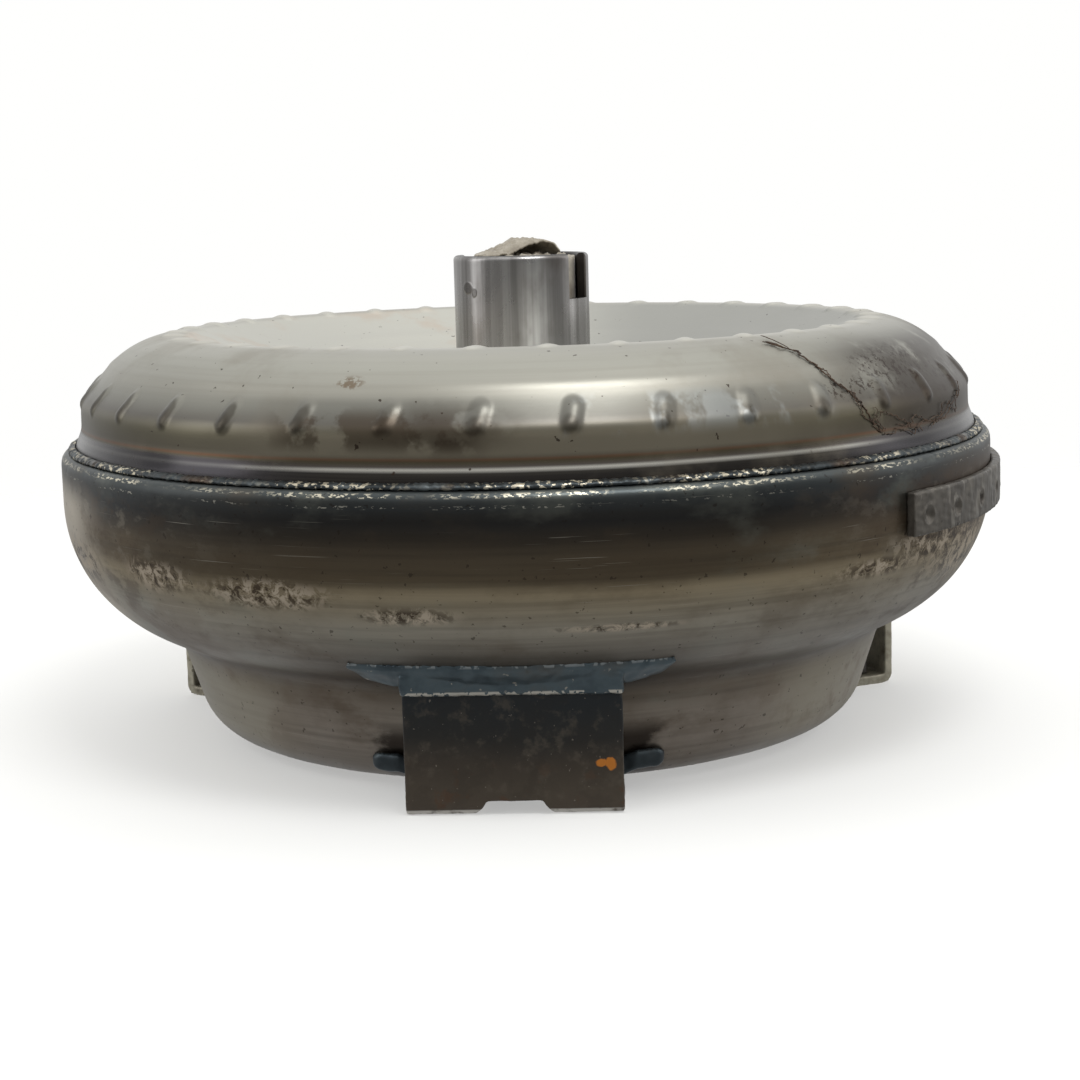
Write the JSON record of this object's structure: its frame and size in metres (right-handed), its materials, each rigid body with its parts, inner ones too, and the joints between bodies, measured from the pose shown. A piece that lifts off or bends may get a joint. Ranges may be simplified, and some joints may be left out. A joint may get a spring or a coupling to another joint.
{
  "type": "torque converter",
  "caption": "Automatic-transmission torque converter with bracketed front cover, pump hub, bladed torus, lock-up clutch, torsion damper and one-way stator.",
  "frame": {"origin": "on the rotation axis, in the plane of the three bracket feet", "axes": "+Z along the rotation axis from the engine side up to the pump hub; -Y through the middle of mounting_bracket_1"},
  "size_m": [0.3071, 0.304, 0.1602],
  "materials": {
    "cover_steel": "heat-tinted, worn pressed steel",
    "impeller_steel": "satin pressed steel with heat stain",
    "hub_steel": "ground steel",
    "weld_metal": "rough weld bead",
    "bracket_steel": "dark scaled steel",
    "weight_steel": "dull plate",
    "blade_steel": "pressed sheet",
    "machined_steel": "turned",
    "spring_steel": "oiled spring wire",
    "cast_aluminium": "die cast",
    "bearing_steel": "polished",
    "friction_paper": "woven friction paper",
    "seal_plastic": "filled polymer",
    "rag": "crumpled oily paper wipe"
  },
  "bodies": {
    "housing": {"front_cover": "cover_steel", "crank_pilot": "machined_steel", "mounting_bracket_1": "bracket_steel", "mounting_bracket_2": "bracket_steel", "mounting_bracket_3": "bracket_steel", "upper_bracket_welds": "weld_metal", "lower_bracket_welds": "weld_metal", "weld_nuts": "machined_steel", "balance_weight": "weight_steel", "seam_weld": "weld_metal", "impeller_shell": "impeller_steel", "impeller_hub": "hub_steel", "hub_weld": "weld_metal", "impeller_core_ring": "blade_steel", "impeller_blades": "blade_steel", "impeller_bearing_upper_race": "bearing_steel"},
    "turbine": {"turbine_shell": "blade_steel", "turbine_core_ring": "blade_steel", "turbine_blades": "blade_steel", "turbine_hub": "machined_steel", "turbine_rivets": "machined_steel", "piston_seal": "seal_plastic", "thrust_washer": "seal_plastic", "damper_driven_plate": "machined_steel", "damper_rivets": "machined_steel", "turbine_bearing_lower_race": "bearing_steel"},
    "damper_drive": {"damper_front_plate": "blade_steel", "damper_rear_plate": "blade_steel", "damper_spacer_rivets": "machined_steel", "damper_springs": "spring_steel"},
    "piston": {"lockup_piston": "blade_steel", "friction_lining": "friction_paper"},
    "stator": {"stator_wheel": "cast_aluminium", "stator_snap_ring": "spring_steel", "clutch_outer_race": "bearing_steel", "clutch_rollers": "bearing_steel", "clutch_roller_springs": "spring_steel", "clutch_lower_cap": "cast_aluminium", "clutch_upper_cap": "cast_aluminium", "turbine_bearing_upper_race": "bearing_steel", "impeller_bearing_lower_race": "bearing_steel"},
    "inner_race": {"clutch_inner_race": "bearing_steel"},
    "turbine_cage": {"turbine_bearing_cage": "bearing_steel", "turbine_bearing_needles": "bearing_steel"},
    "impeller_cage": {"impeller_bearing_cage": "bearing_steel", "impeller_bearing_needles": "bearing_steel"},
    "rag": {"bore_rag": "rag"}
  },
  "joints": [
    {"name": "turbine_spin", "type": "hinge", "parent": "housing", "child": "turbine", "pos_m": [0, 0, 0.07], "axis": [0, 0, 1], "continuous": true},
    {"name": "damper_twist", "type": "hinge", "parent": "turbine", "child": "damper_drive", "pos_m": [0, 0, 0.036], "axis": [0, 0, 1], "range_deg": [-6, 6], "stiffness_Nm_per_rad": 400, "deforming": ["damper_springs"]},
    {"name": "piston_slide", "type": "slide", "parent": "damper_drive", "child": "piston", "axis": [0, 0, -1], "range_m": [0, 0.001]},
    {"name": "stator_spin", "type": "hinge", "parent": "housing", "child": "stator", "pos_m": [0, 0, 0.087], "axis": [0, 0, 1], "continuous": true},
    {"name": "inner_race_spin", "type": "hinge", "parent": "housing", "child": "inner_race", "pos_m": [0, 0, 0.087], "axis": [0, 0, 1], "continuous": true},
    {"name": "turbine_cage_spin", "type": "hinge", "parent": "housing", "child": "turbine_cage", "pos_m": [0, 0, 0.072], "axis": [0, 0, 1], "continuous": true},
    {"name": "impeller_cage_spin", "type": "hinge", "parent": "housing", "child": "impeller_cage", "pos_m": [0, 0, 0.101], "axis": [0, 0, 1], "continuous": true},
    {"name": "rag_lift", "type": "slide", "parent": "housing", "child": "rag", "axis": [0, 0, 1], "range_m": [0, 0.06]}
  ],
  "couplings": [
    {"joint": "turbine_cage_spin", "follows": "turbine_spin", "ratio": 0.5},
    {"joint": "impeller_cage_spin", "follows": "stator_spin", "ratio": 0.5}
  ]
}
